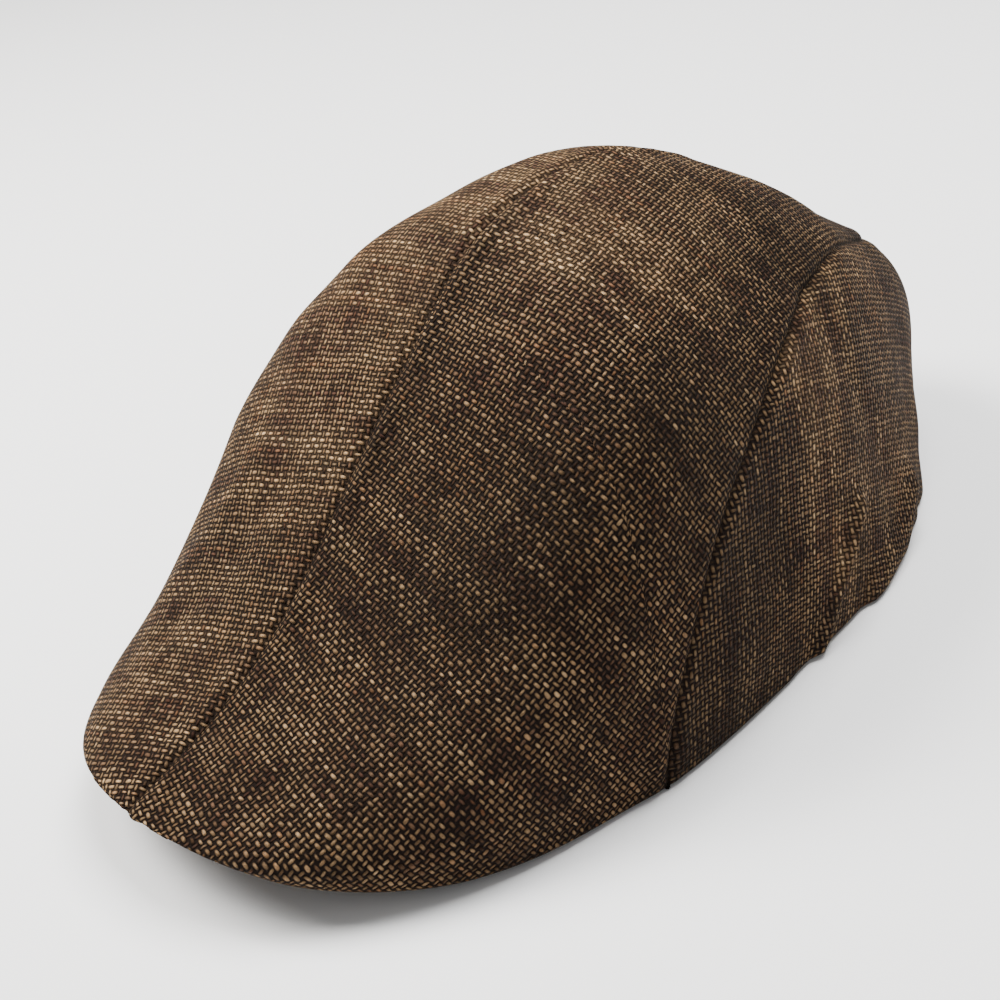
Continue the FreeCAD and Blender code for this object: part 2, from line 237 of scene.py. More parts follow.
def weld(grid):
    flat = grid.reshape(-1, 3)
    _, first, inverse = np.unique(np.round(flat, 3), axis=0, return_index=True, return_inverse=True)
    return flat[first], inverse.reshape(grid.shape[:2]), first


def gridFaces(ids):
    faces = []
    for a, b in zip(ids[:-1], ids[1:]):
        for quad in zip(a[:-1], b[:-1], b[1:], a[1:]):
            face = [int(v) for k, v in enumerate(quad) if v != quad[k - 1]]
            if len(face) > 2 and len(set(face)) == len(face):
                faces.append(face)
    return faces


def plainMesh(name, points, faces):
    mesh = bpy.data.meshes.new(name)
    mesh.from_pydata([tuple(p) for p in points * millimetre], [], faces)
    mesh.update()
    return mesh


def normalsOf(points, faces):
    mesh = plainMesh("normals", points, faces)
    found = np.empty(len(points) * 3)
    mesh.vertex_normals.foreach_get("vector", found)
    bpy.data.meshes.remove(mesh)
    return found.reshape(-1, 3)


def signedVolume(points, faces):
    triangles = np.array([(f[0], f[k], f[k + 1]) for f in faces for k in range(1, len(f) - 1)])
    a, b, c = (points[triangles[:, k]] for k in range(3))
    return float(np.einsum("ij,ij->i", a, np.cross(b, c)).sum() / 6)


def meshArea(points, faces):
    triangles = np.array([(f[0], f[k], f[k + 1]) for f in faces for k in range(1, len(f) - 1)])
    a, b, c = (points[triangles[:, k]] for k in range(3))
    return float(np.linalg.norm(np.cross(b - a, c - a), axis=1).sum() / 2)


def addPiece(name, mesh, material, nodes):
    piece = bpy.data.objects.new(name, mesh)
    bpy.context.scene.collection.objects.link(piece)
    mesh.materials.clear()
    mesh.materials.append(material)
    mesh.polygons.foreach_set("use_smooth", [True] * len(mesh.polygons))
    mesh.set_sharp_from_angle(angle=math.radians(55))
    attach(piece, "root")
    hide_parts(*nodes)
    return piece


# Closed mesh between a front and a back skin, with the places of its cloth in a UV map
def closedSheet(name, front, back, faces, places, fields=()):
    count = len(front)
    used = {}
    for face in faces:
        for a, b in zip(face, face[1:] + face[:1]):
            used[(a, b)] = True
    border = [(a, b) for a, b in used if (b, a) not in used]
    whole = faces + [[v + count for v in reversed(face)] for face in faces]
    whole += [[b, a, a + count, b + count] for a, b in border]
    points = np.r_[front, back]
    if signedVolume(points, whole) < 0:
        whole = [face[::-1] for face in whole]
    mesh = plainMesh(name, points, whole)
    layer = mesh.uv_layers.new(name="cloth")
    corner = np.empty(len(mesh.loops), int)
    mesh.loops.foreach_get("vertex_index", corner)
    layer.data.foreach_set("uv", np.r_[places, places][corner].ravel())
    for label, field in fields:
        mesh.attributes.new(label, "FLOAT", "POINT").data.foreach_set("value", np.r_[field, field])
    return mesh


# Lay a grid flat with little stretch: its places in millimetres, turned by the grain
def flatLayout(grid, step, grain):
    coarse = grid[::step, ::step]
    points, ids, _ = weld(coarse)
    faces = gridFaces(ids)
    mesh = plainMesh("layout", points, faces)
    mesh.uv_layers.new(name="flat")
    helper = bpy.data.objects.new("layout", mesh)
    bpy.context.scene.collection.objects.link(helper)
    bpy.ops.object.select_all(action="DESELECT")
    bpy.context.view_layer.objects.active = helper
    helper.select_set(True)
    bpy.ops.object.mode_set(mode="EDIT")
    bpy.ops.mesh.select_all(action="SELECT")
    bpy.ops.uv.unwrap(method="MINIMUM_STRETCH", fill_holes=False, margin=0)
    bpy.ops.object.mode_set(mode="OBJECT")
    layer = mesh.uv_layers["flat"]
    corner = np.empty(len(mesh.loops), int)
    mesh.loops.foreach_get("vertex_index", corner)
    read = np.empty(len(mesh.loops) * 2)
    layer.data.foreach_get("uv", read)
    places = np.zeros((len(points), 2))
    places[corner] = read.reshape(-1, 2)
    bpy.data.objects.remove(helper)
    bpy.data.meshes.remove(mesh)
    flat = np.c_[places, np.zeros(len(places))]
    places *= math.sqrt(meshArea(points, faces) / meshArea(flat, faces))
    places = places[ids]
    edge = places[-2, -1] - places[len(places) // 4, -1]
    turn = math.radians(90 + grain) - math.atan2(edge[1], edge[0])
    spin = np.array([[math.cos(turn), -math.sin(turn)], [math.sin(turn), math.cos(turn)]])
    places = (places - places.reshape(-1, 2).mean(0)) @ spin.T
    rows, columns = (np.arange(count) / step for count in grid.shape[:2])
    dense = np.stack([[np.interp(columns, range(places.shape[1]), row) for row in places[:, :, k]]
                      for k in (0, 1)], axis=2)
    return np.stack([np.stack([np.interp(rows, range(len(places)), dense[:, j, k])
                               for j in range(dense.shape[1])], axis=1) for k in (0, 1)], axis=2)


# Relief fields


# Smooth unit noise from plane waves about one size long
def waves(points, size, seed):
    maker = np.random.RandomState(seed)
    ways = maker.normal(size=(22, points.shape[-1]))
    ways /= np.linalg.norm(ways, axis=1)[:, None]
    ways *= 2 * np.pi / (size * maker.uniform(0.75, 1.5, 22))[:, None]
    phases = maker.uniform(0, 2 * np.pi, 22)
    return np.sin(points @ ways.T + phases).sum(-1) / math.sqrt(11)


def smooth(low, high, value):
    u = np.clip((value - low) / (high - low), 0, 1)
    return u * u * (3 - 2 * u)


# Distance to the closest point of a line, and how far along the line that is
def nearest(points, line):
    lengths = np.r_[0, np.cumsum(np.linalg.norm(np.diff(line, axis=0), axis=1))]
    distance, along = np.empty(len(points)), np.empty(len(points))
    for start in range(0, len(points), 2000):
        block = points[start:start + 2000]
        closest = ((block[:, None] - line[None]) ** 2).sum(2).argmin(1)
        best, place = np.full(len(block), np.inf), np.zeros(len(block))
        for first in (closest - 1, closest):
            k = np.clip(first, 0, len(line) - 2)
            step = line[k + 1] - line[k]
            u = ((block - line[k]) * step).sum(1) / np.maximum((step**2).sum(1), 1e-12)
            u = np.clip(u, 0, 1)
            gap = np.linalg.norm(block - line[k] - u[:, None] * step, axis=1)
            place = np.where(gap < best, lengths[k] + u * (lengths[k + 1] - lengths[k]), place)
            best = np.minimum(gap, best)
        distance[start:start + 2000], along[start:start + 2000] = best, place
    return distance, along


allShares = np.linspace(0, 1, 500)
centreLine = np.c_[np.zeros(500), crownY(allShares), crownZ(allShares)]
rimLine = np.c_[rimX(allShares), rimY(allShares), outerArch(allShares, 0)[2]]
sideGrid = panelGrid(outerArch, 0, 0, "side", 240, 4)
seamLine = sideGrid[:121, -1]

cover = {
    # seams, and the width of the painted shade along them
    "grooveDepth": 0.75, "grooveWidth": 1.1, "foldRise": 0.35, "foldPlace": 3.6, "foldWidth": 2.4,
    "leftFoldRise": 0.8, "pucker": 0.22, "puckerPitch": 13.0, "creaseShadeWidth": 0.75,
    # lower edge and cloth thickness
    "edgeRadius": 2.4, "thickness": 1.0, "edgeThinning": 0.75, "thinnest": 0.15, "liningRoom": 1.2,
    # slow unevenness of the cloth: amplitude and size
    "swell": 0.8, "swellSize": 75.0, "ripple": 0.16, "rippleSize": 26.0,
    # how far it may sink below the form, away from the rim and at it, what counts as a deep fold, and
    # how dark the painted shade in a deep fold is
    "sink": 1.4, "rimSink": 0.45, "deepMark": 1.4, "markShade": 0.6,
    # gathers that the elastic makes round the back
    "gather": 0.9, "gatherPitch": 15.0, "gatherStart": 72.0, "gatherHeight": 20.0,
    "rows": 208, "columns": 120, "layoutStep": 4,
}

# Single folds and hollows: points on the cap, width, height above the form.
marks = [
    # the first gather behind the widest place: a ridge that leans back, with a hollow behind it
    ([(76.0, 22.0, 3.0), (74.4, 31.0, 12.0), (73.4, 38.0, 20.0), (71.0, 49.0, 31.0)], 3.2, 2.4),
    ([(73.2, 43.0, 0.0), (72.6, 44.0, 12.0), (71.2, 52.0, 24.0)], 3.6, -1.5),
    ([(72.5, 51.0, 1.0), (69.5, 62.0, 5.0), (66.5, 72.4, 6.0), (61.0, 85.0, 14.0)], 6.0, 2.3),
    ([(76.6, 15.0, 0.0), (76.2, 18.0, 3.0)], 4.0, -1.0),
    # soft dent in the left side, and long shallow folds over the right half of the bill
    ([(72.5, 14.0, 46.0), (70.5, 26.0, 52.0)], 12.0, -1.2),
    ([(-22.0, -70.0, 64.0), (-27.0, -88.0, 47.0), (-34.0, -104.0, 34.0)], 5.0, -0.9),
    ([(-34.0, -64.0, 66.0), (-40.0, -80.0, 50.0), (-46.0, -94.0, 36.0)], 5.5, 0.9),
    ([(-44.0, -36.0, 90.0), (-38.0, -24.0, 102.0)], 14.0, 1.6),
    ([(58.0, -69.0, 52.0), (48.0, -80.0, 50.0), (36.0, -92.0, 44.0)], 11.0, -0.8),
]


# Unevenness that the lining shares. It stays outward of the form near the band
def slowRelief(points, rimDistance):
    value = (cover["swell"] * waves(points, cover["swellSize"], 11)
             + cover["ripple"] * waves(points, cover["rippleSize"], 12))
    for path, width, height in marks:
        gap, _ = nearest(points, np.array(path))
        value += height * np.exp(-(gap / width) ** 2)
    return np.maximum(value, -cover["sink"] * smooth(3, 55, rimDistance) - cover["rimSink"])


# Height above the form, tuck of the lower edge, painted shade in creases, seams, deep folds and along
# the rim, and thickness
def coverRelief(points, onTop):
    mirrored = np.c_[np.abs(points[:, 0]), points[:, 1:]]
    left = points[:, 0] >= 0
    rimDistance, alongRim = nearest(mirrored, rimLine)
    slow = slowRelief(points, rimDistance)
    lift = slow.copy()
    # painted shade along the rim
    creaseShade = 0.45 * np.exp(-(rimDistance / 2.2) ** 2)
    # painted shade in the deep hollows
    for path, width, height in marks:
        if height < -cover["deepMark"]:
            gap, _ = nearest(points, np.array(path))
            creaseShade = np.maximum(creaseShade, cover["markShade"] * np.exp(-(gap / width) ** 2))
    for line, seed, strong in ((centreLine, 3, True), (seamLine, 5, False)):
        distance, along = nearest(mirrored, line)
        foldRise = np.where(left & strong, cover["leftFoldRise"], cover["foldRise"])
        place = np.c_[along, distance * 0.4, 30 * left]
        uneven = 1 + 0.5 * waves(place, 30, seed)
        # seams are pressed flatter at the rim
        flat = 0.35 + 0.65 * smooth(0, 6, rimDistance)
        lift -= flat * cover["grooveDepth"] * np.exp(-(distance / cover["grooveWidth"]) ** 2)
        fold = np.exp(-((distance - cover["foldPlace"]) / cover["foldWidth"]) ** 2)
        lift += flat * foldRise * uneven * fold
        lift += (cover["pucker"] * waves(place, cover["puckerPitch"], seed + 1)
                 * (np.exp(-distance / 9) - np.exp(-distance / 2)))
        # painted shade in the seam grooves
        creaseShade = np.maximum(creaseShade, np.exp(-(distance / cover["creaseShadeWidth"]) ** 2))
    share = smooth(cover["gatherStart"], cover["gatherStart"] + 34, points[:, 1])
    share = share * np.exp(-(rimDistance / cover["gatherHeight"]) ** 1.6)
    phase = (2 * np.pi * alongRim / cover["gatherPitch"] + 1.9 * waves(points, 42, 13)
             + np.where(left, 0, 1.9))
    folds = (0.5 + 0.5 * np.cos(phase)) ** 0.8
    lift += cover["gather"] * share * folds * (1 + 0.4 * waves(points, 45, 14))
    # painted shade in the hollows between the gathers
    creaseShade = np.maximum(creaseShade, 0.5 * share * (1 - folds) ** 3)
    radius = cover["edgeRadius"]
    inside = np.clip(radius - rimDistance, 0, radius)
    tuck = radius - np.sqrt(np.maximum(radius**2 - inside**2, 0))
    # the cloth is thinned round the bill's tight edge, so that its inside doesn't fold through it,
    # and in the seams, where the lining passes close behind
    thinning = cover["edgeThinning"] * (1 - smooth(4, 12, rimDistance)) if onTop else 0
    room = np.maximum(cover["liningRoom"] + lift - np.minimum(slow, 0), cover["thinnest"])
    return lift, tuck, creaseShade, np.minimum(cover["thickness"] * (1 - thinning), room)


# Shader nodes


def addNode(tree, kind, inputs=(), **settings):
    made = tree.nodes.new(kind)
    for key, value in settings.items():
        setattr(made, key, value)
    for key, value in dict(inputs).items():
        socket = made.inputs[key]
        if isinstance(value, bpy.types.NodeSocket):
            tree.links.new(value, socket)
        else:
            socket.default_value = value
    return made


def calc(tree, operation, a, b=0.0, c=0.0):
    return addNode(tree, "ShaderNodeMath", {0: a, 1: b, 2: c}, operation=operation).outputs[0]


def product(tree, value, *others):
    for other in others:
        value = calc(tree, "MULTIPLY", value, other)
    return value


def scaleBy(tree, vector, scale):
    inputs = {0: vector, "Scale": scale}
    return addNode(tree, "ShaderNodeVectorMath", inputs, operation="SCALE").outputs[0]


def combine(tree, x, y, z=0.0):
    return addNode(tree, "ShaderNodeCombineXYZ", {0: x, 1: y, 2: z}).outputs[0]


def mixColour(tree, share, a, b, blend="MIX"):
    made = addNode(tree, "ShaderNodeMix", {"Factor": share}, data_type="RGBA", blend_type=blend)
    for socket, value in ((made.inputs[6], a), (made.inputs[7], b)):
        if isinstance(value, bpy.types.NodeSocket):
            tree.links.new(value, socket)
        else:
            socket.default_value = (*value, 1)
    return made.outputs[2]


def noise(tree, vector, scale, detail=2.0, dimensions="3D"):
    return addNode(tree, "ShaderNodeTexNoise", {"Vector": vector, "Scale": scale, "Detail": detail},
                   noise_dimensions=dimensions).outputs[0]


def spread(tree, value, low, high, toLow=0.0, toHigh=1.0):
    inputs = {0: value, 1: low, 2: high, 3: toLow, 4: toHigh}
    return addNode(tree, "ShaderNodeMapRange", inputs).outputs[0]


def ramp(tree, value, stops):
    made = addNode(tree, "ShaderNodeValToRGB", {0: value})
    colours = made.color_ramp.elements
    for k, (place, colour) in enumerate(stops):
        element = colours[k] if k < 2 else colours.new(place)
        element.position = place
        element.color = (*colour, 1)
    return made.outputs[0]


def newGroup(name, inputs, outputs):
    tree = bpy.data.node_groups.new(name, "ShaderNodeTree")
    for label, kind, value in inputs:
        socket = tree.interface.new_socket(label, in_out="INPUT", socket_type="NodeSocket" + kind)
        if value is not None:
            socket.default_value = value
    for label, kind in outputs:
        tree.interface.new_socket(label, in_out="OUTPUT", socket_type="NodeSocket" + kind)
    return tree, tree.nodes.new("NodeGroupInput").outputs, tree.nodes.new("NodeGroupOutput").inputs


def callGroup(tree, group, inputs):
    made = tree.nodes.new("ShaderNodeGroup")
    made.node_tree = group
    for key, value in inputs.items():
        if isinstance(value, bpy.types.NodeSocket):
            tree.links.new(value, made.inputs[key])
        else:
            made.inputs[key].default_value = value
    return made.outputs


# Plain weave: yarns over and under, uneven in width and place
def weaveGroup():
    tree, given, result = newGroup(
        "plainWeave",
        [("Vector", "Vector", None), ("Pitch", "Float", 0.0014), ("Warp Fill", "Float", 0.6),
         ("Weft Fill", "Float", 0.85), ("Unevenness", "Float", 0.3)],
        [("Height", "Float"), ("Warp", "Float"), ("Streak", "Vector"), ("Broad", "Vector"),
         ("Float", "Float")])
    scaled = scaleBy(tree, given["Vector"], calc(tree, "DIVIDE", 1.0, given["Pitch"]))
    bend = addNode(tree, "ShaderNodeTexNoise", {"Vector": scaled, "Scale": 0.22, "Detail": 2.0})
    shift = addNode(tree, "ShaderNodeVectorMath", {0: bend.outputs[1], 1: (0.5, 0.5, 0.5)},
                    operation="SUBTRACT").outputs[0]
    shift = scaleBy(tree, shift, product(tree, given["Unevenness"], 3.0))
    moved = addNode(tree, "ShaderNodeVectorMath", {0: scaled, 1: shift}, operation="ADD").outputs[0]
    parts = addNode(tree, "ShaderNodeSeparateXYZ", {0: moved}).outputs
    a, b = parts[0], parts[1]
    i, j = calc(tree, "FLOOR", a), calc(tree, "FLOOR", b)
    heights = []
    for across, along, yarn, fill, sign, seed in ((a, b, i, given["Warp Fill"], 1.0, 3.1),
                                                  (b, a, j, given["Weft Fill"], -1.0, 9.7)):
        offset = calc(tree, "SUBTRACT", calc(tree, "FRACT", across), 0.5)
        place = combine(tree, product(tree, yarn, 7.31), product(tree, along, 0.35), seed)
        thick = spread(tree, noise(tree, place, 1.0, 1.0), 0.25, 0.75, 0.72, 1.12)
        inside = calc(tree, "DIVIDE", product(tree, offset, 2.0), product(tree, fill, thick))
        square = calc(tree, "SUBTRACT", 1.0, product(tree, inside, inside))
        body = calc(tree, "SQRT", calc(tree, "MAXIMUM", square, 0.0))
        wave = calc(tree, "SINE", product(tree, calc(tree, "ADD", along, yarn), math.pi))
        level = calc(tree, "MULTIPLY_ADD", wave, 0.46 * sign, 0.54)
        heights.append(product(tree, body, level, thick))
    warp = calc(tree, "GREATER_THAN", heights[0], heights[1])
    # places that change fast from yarn to yarn and slowly along one
    for label, step, drift, warpSeed, weftSeed in (("Streak", 5.37, 0.09, 1.0, 40.0),
                                                   ("Broad", 0.21, 0.035, 3.0, 60.0)):
        warpPlace = combine(tree, product(tree, i, step), product(tree, b, drift), warpSeed)
        weftPlace = combine(tree, product(tree, a, drift), product(tree, j, step), weftSeed)
        chosen = addNode(tree, "ShaderNodeMix", {"Factor": warp}, data_type="VECTOR")
        tree.links.new(weftPlace, chosen.inputs[4])
        tree.links.new(warpPlace, chosen.inputs[5])
        tree.links.new(chosen.outputs[1], result[label])
    single = addNode(tree, "ShaderNodeTexWhiteNoise", {"Vector": combine(tree, i, j)},
                     noise_dimensions="3D").outputs["Value"]
    tree.links.new(calc(tree, "MAXIMUM", heights[0], heights[1]), result["Height"])
    tree.links.new(warp, result["Warp"])
    tree.links.new(single, result["Float"])
    return tree


# Colours that change along single yarns, from pale tan to near black brown
def heatherGroup():
    tree, given, result = newGroup(
        "heather", [("Streak", "Vector", None), ("Broad", "Vector", None), ("Float", "Float", 0.5),
                    ("Bright", "Float", 1.0)],
        [("Color", "Color")])
    tone = noise(tree, given["Streak"], 1.0, 2.5)
    colour = ramp(tree, spread(tree, tone, 0.28, 0.74), [
        (0.0, (0.036, 0.0185, 0.009)), (1.0, (0.45, 0.298, 0.158)), (0.16, (0.066, 0.037, 0.020)),
        (0.32, (0.125, 0.074, 0.038)), (0.50, (0.195, 0.120, 0.061)), (0.66, (0.250, 0.157, 0.082)),
        (0.82, (0.330, 0.213, 0.113))])
    hue = noise(tree, addNode(tree, "ShaderNodeVectorMath", {0: given["Streak"], 1: (17.0, 31.0, 7.0)},
                              operation="ADD").outputs[0], 0.8, 1.0)
    colour = mixColour(tree, spread(tree, hue, 0.58, 0.72, 0.0, 0.45), colour, (0.23, 0.098, 0.040))
    colour = mixColour(tree, spread(tree, hue, 0.42, 0.28, 0.0, 0.5), colour, (0.080, 0.062, 0.036))
    broad = noise(tree, given["Broad"], 1.0, 2.5)
    colour = mixColour(tree, spread(tree, broad, 0.52, 0.36, 0.0, 0.7), colour, (0.050, 0.021, 0.016))
    colour = mixColour(tree, spread(tree, broad, 0.52, 0.68, 0.0, 0.45), colour, (0.37, 0.230, 0.115))
    gain = product(tree, spread(tree, given["Float"], 0.0, 1.0, 0.78, 1.18), given["Bright"])
    tree.links.new(scaleBy(tree, colour, gain), result["Color"])
    return tree


# Slow patches of handling and dust over the whole cap, and the fibres of the cloth
def wearGroup():
    tree, given, result = newGroup("wear", [("Vector", "Vector", None)],
                                   [("Patch", "Float"), ("Fibre", "Float")])
    patch = spread(tree, noise(tree, given["Vector"], 24.0, 4.0), 0.3, 0.7)
    fibre = noise(tree, given["Vector"], 2600.0, 3.0)
    tree.links.new(patch, result["Patch"])
    tree.links.new(fibre, result["Fibre"])
    return tree


weave, heather, wear = weaveGroup(), heatherGroup(), wearGroup()


def newMaterial(name):
    material = bpy.data.materials.new(name)
    material.use_nodes = True
    tree = material.node_tree
    shader = tree.nodes["Principled BSDF"]
    place = addNode(tree, "ShaderNodeUVMap", uv_map="cloth").outputs[0]
    spot = tree.nodes.new("ShaderNodeTexCoord").outputs["Object"]
    return material, tree, shader, place, spot


def setShader(tree, shader, colour, roughness, height, distance):
    tree.links.new(colour, shader.inputs["Base Color"])
    tree.links.new(roughness, shader.inputs["Roughness"])
    bump = addNode(tree, "ShaderNodeBump", {"Height": height, "Distance": distance, "Strength": 1.0})
    tree.links.new(bump.outputs[0], shader.inputs["Normal"])


# the crease tone is how far the painted shade in creases, seams and along the rim darkens the colour
wovenLook = {"pitch": 0.00157, "warpFill": 0.58, "weftFill": 0.72, "unevenness": 0.28, "bright": 1.0,
             "warpTone": 0.72, "bump": 0.0009, "creaseShadeTone": 0.35, "sheen": 0.01, "specular": 0.05,
             # painted shade between and under the yarns, and how much of the yarn's colour it takes
             # where a panel is painted lighter
             "gap": (0.007, 0.0042, 0.0030), "gapOnPaintedLight": 0.10}


def wovenMaterial(name, look):
    material, tree, shader, place, spot = newMaterial(name)
    cloth = callGroup(tree, weave, {
        "Vector": place, "Pitch": look["pitch"], "Warp Fill": look["warpFill"],
        "Weft Fill": look["weftFill"], "Unevenness": look["unevenness"]})
    worn = callGroup(tree, wear, {"Vector": spot})
    # painted shade in creases, and painted light and shade for each panel, read from the mesh
    creaseShade, paintedLight = (addNode(tree, "ShaderNodeAttribute", attribute_name=name).outputs["Fac"]
                    for name in ("creaseShade", "paintedLight"))
    # the colour is darkened by the painted shade in creases and scaled by the painted light and shade
    # of each panel
    bright = product(tree, spread(tree, worn["Patch"], 0.0, 1.0, 0.75, 1.2), look["bright"],
                     spread(tree, cloth["Warp"], 0.0, 1.0, 1.0, look["warpTone"]),
                     spread(tree, creaseShade, 0.0, 1.0, 1.0, look["creaseShadeTone"]), paintedLight,
                     spread(tree, worn["Fibre"], 0.25, 0.75, 0.7, 1.3))
    colour = callGroup(tree, heather, {"Streak": cloth["Streak"], "Broad": cloth["Broad"],
                                       "Float": cloth["Float"], "Bright": bright})["Color"]
    # painted shade: the low parts of the yarns and the gaps between them go to the gap colour, which
    # takes more yarn colour where the panel is painted lighter
    top = spread(tree, cloth["Height"], 0.38, 0.82)
    gap = mixColour(tree, spread(tree, paintedLight, 1.0, 1.5, 0.0, look["gapOnPaintedLight"]), look["gap"], colour)
    colour = mixColour(tree, top, gap, colour)
    height = calc(tree, "MULTIPLY_ADD", worn["Fibre"], 0.12, cloth["Height"])
    roughness = spread(tree, worn["Patch"], 0.0, 1.0, 0.72, 0.90)
    setShader(tree, shader, colour, roughness, height, look["bump"])
    shader.inputs["Sheen Weight"].default_value = look["sheen"]
    shader.inputs["Sheen Roughness"].default_value = 0.45
    shader.inputs["Sheen Tint"].default_value = (0.85, 0.74, 0.62, 1)
    shader.inputs["Specular IOR Level"].default_value = look["specular"]
    return material


# Fine diagonal weave for the lining, the band and the tapes
def twillMaterial(name, colour, pitch, sheen, roughness, bump):
    material, tree, shader, place, spot = newMaterial(name)
    parts = addNode(tree, "ShaderNodeSeparateXYZ", {0: place}).outputs
    worn = callGroup(tree, wear, {"Vector": spot})
    diagonal = calc(tree, "DIVIDE", calc(tree, "ADD", parts[0], parts[1]), pitch)
    yarn = calc(tree, "DIVIDE", calc(tree, "SUBTRACT", parts[0], parts[1]), pitch * 0.6)
    rib, cross = (calc(tree, "SINE", product(tree, place, 2 * math.pi)) for place in (diagonal, yarn))
    height = calc(tree, "MULTIPLY_ADD", cross, 0.3, rib)
    height = calc(tree, "MULTIPLY_ADD", worn["Fibre"], 0.5, height)
    # painted shade and highlight: the colour is darker in the low parts of the rib and lighter on its
    # crests
    tone = product(tree, spread(tree, rib, -1.0, 1.0, 0.75, 1.15),
                   spread(tree, worn["Patch"], 0.0, 1.0, 0.85, 1.15))
    rough = spread(tree, worn["Patch"], 0.0, 1.0, roughness, roughness + 0.12)
    setShader(tree, shader, scaleBy(tree, colour, tone), rough, height, bump)
    shader.inputs["Sheen Weight"].default_value = sheen
    shader.inputs["Specular IOR Level"].default_value = 0.4
    return material


def plasticMaterial(name, colour):
    material, tree, shader, _, spot = newMaterial(name)
    worn = callGroup(tree, wear, {"Vector": spot})
    scaled = scaleBy(tree, colour, spread(tree, worn["Patch"], 0.0, 1.0, 0.9, 1.1))
    rough = spread(tree, worn["Patch"], 0.0, 1.0, 0.4, 0.6)
    setShader(tree, shader, scaled, rough, worn["Fibre"], 0.00005)
    return material


wovenCloth = wovenMaterial("woven_cloth", wovenLook)
liningCloth = twillMaterial("lining_cloth", (0.050, 0.036, 0.028), 0.0007, 0.1, 0.38, 0.00006)
bandCloth = twillMaterial("band_cloth", (0.060, 0.042, 0.032), 0.0011, 0.3, 0.75, 0.00018)
elasticTape = twillMaterial("elastic_tape", (0.03, 0.03, 0.032), 0.0016, 0.1, 0.6, 0.0003)
boardPlastic = plasticMaterial("board_plastic", (0.55, 0.53, 0.48))
labelCloth = twillMaterial("label_cloth", (0.62, 0.58, 0.50), 0.0005, 0.2, 0.5, 0.00005)
threadLook = twillMaterial("thread_fibre", (0.11, 0.075, 0.050), 0.0005, 0.3, 0.6, 0.00004)


# Outer cloth

# turn of each panel's cloth against the seam, in degrees
grains = {"top_left": -6.0, "top_right": -12.0, "side_left": -3.0, "side_right": 4.0}


# Painted light and shade on the outer cloth: the crown top is painted lighter and the lower front
# darker, as the light falls on them, and each panel is painted lighter or darker for the way its grain
# takes the light. Values run from a low place to a high one, or from front to back on the sides.
paintedLightSteps = {"top_left": [(0, 0.80), (42, 0.78), (56, 0.62), (84, 0.66), (104, 1.06), (118, 1.36)],
         "top_right": [(0, 1.15), (60, 1.22), (90, 1.40), (118, 1.55)],
         "side_left": [(-45, 0.50), (-15, 0.54), (15, 0.70), (40, 1.45), (75, 1.10), (130, 0.95)],
         "side_right": [(-45, 1.1), (130, 1.0)]}


def paintedLightAt(points, part, side):
    steps = paintedLightSteps[part + "_" + side]
    place = points[:, 2] if part == "top" else points[:, 1]
    spotty = 1 + 0.07 * waves(points, 38, 17)
    return np.interp(place + 5 * waves(points, 45, 18), *zip(*steps)) * spotty


def outerPanel(part, side):
    grid = panelGrid(outerArch, 0, 0, part, cover["rows"], cover["columns"])
    if side == "right":
        grid = (grid * [-1, 1, 1])[::-1]
    places = flatLayout(grid, cover["layoutStep"], grains[part + "_" + side])
    points, ids, first = weld(grid)
    faces = gridFaces(ids)
    normals = normalsOf(points, faces)
    if (normals * (points - [0, 0, 40])).sum() < 0:
        faces, normals = [face[::-1] for face in faces], -normals
    lift, tuck, creaseShade, thickness = coverRelief(points, part == "top")
    inward = -normals * [1, 1, 0]
    front = points + normals * lift[:, None] + inward * tuck[:, None]
    front[:, 2] = np.maximum(front[:, 2], 0)
    back = front - normalsOf(front, faces) * thickness[:, None]
    back[:, 2] = np.maximum(back[:, 2], 0)
    flat = places.reshape(-1, 2)[first] * millimetre
    name = "cloth_" + part + "_" + side
    # painted shade in creases, and painted light and shade for each panel, kept on the points for the
    # cloth's colour
    fields = [("creaseShade", creaseShade), ("paintedLight", paintedLightAt(points, part, side))]
    mesh = closedSheet(name, front, back, faces, flat, fields)
    piece = addPiece(name, mesh, wovenCloth, [part + "_panel_" + side])
    return piece


def billRows(riseBy, edgeInset, arcInset, steps, lines):
    horn = widest
    while rimY(horn) - arcPoint(horn, 0)[1] > -form["hornWidth"]:
        horn -= 0.00625
    sides = np.linspace(-1, 1, steps + 1)
    share = horn * np.abs(sides)
    back, front = arcPoint(share, arcInset), insetCurve(rim, share, edgeInset)
    part = np.linspace(0, 1, lines + 1)
    way = np.where(sides < 0, -1, 1)
    x = way[:, None] * (back[0][:, None] + (front[0] - back[0])[:, None] * part)
    y = back[1][:, None] + (front[1] - back[1])[:, None] * part
    return np.stack([x, y, billHeight(x) + riseBy], axis=2)


def stackedPiece(name, front, back, material, nodes, places=None, fields=()):
    points, ids, first = weld(front)
    faces = gridFaces(ids)
    flat = (front[..., :2] if places is None else places).reshape(-1, 2)[first] * millimetre
    fields = [(label, np.full(len(points), value)) for label, value in fields]
    mesh = closedSheet(name, points, back.reshape(-1, 3)[first], faces, flat, fields)
    piece = addPiece(name, mesh, material, nodes)
    return piece, flat.max(0) - flat.min(0), meshArea(points, faces) * millimetre**2


bill = {"coverRise": 0.175, "coverThickness": 0.8, "boardRise": 1.15, "boardThickness": 1.4,
        "edgeInset": 3.2, "turnIn": 0.8, "steps": 200, "lines": 60}

boardLow = billRows(bill["boardRise"], bill["edgeInset"] + bill["turnIn"], -bill["turnIn"], 120, 12)
stackedPiece("bill_stiffener", boardLow, boardLow + [0, 0, bill["boardThickness"]],
             boardPlastic, ["bill_board"])

for panelPart in ("top", "side"):
    for panelSide in ("left", "right"):
        outerPanel(panelPart, panelSide)
print("outer cloth made")

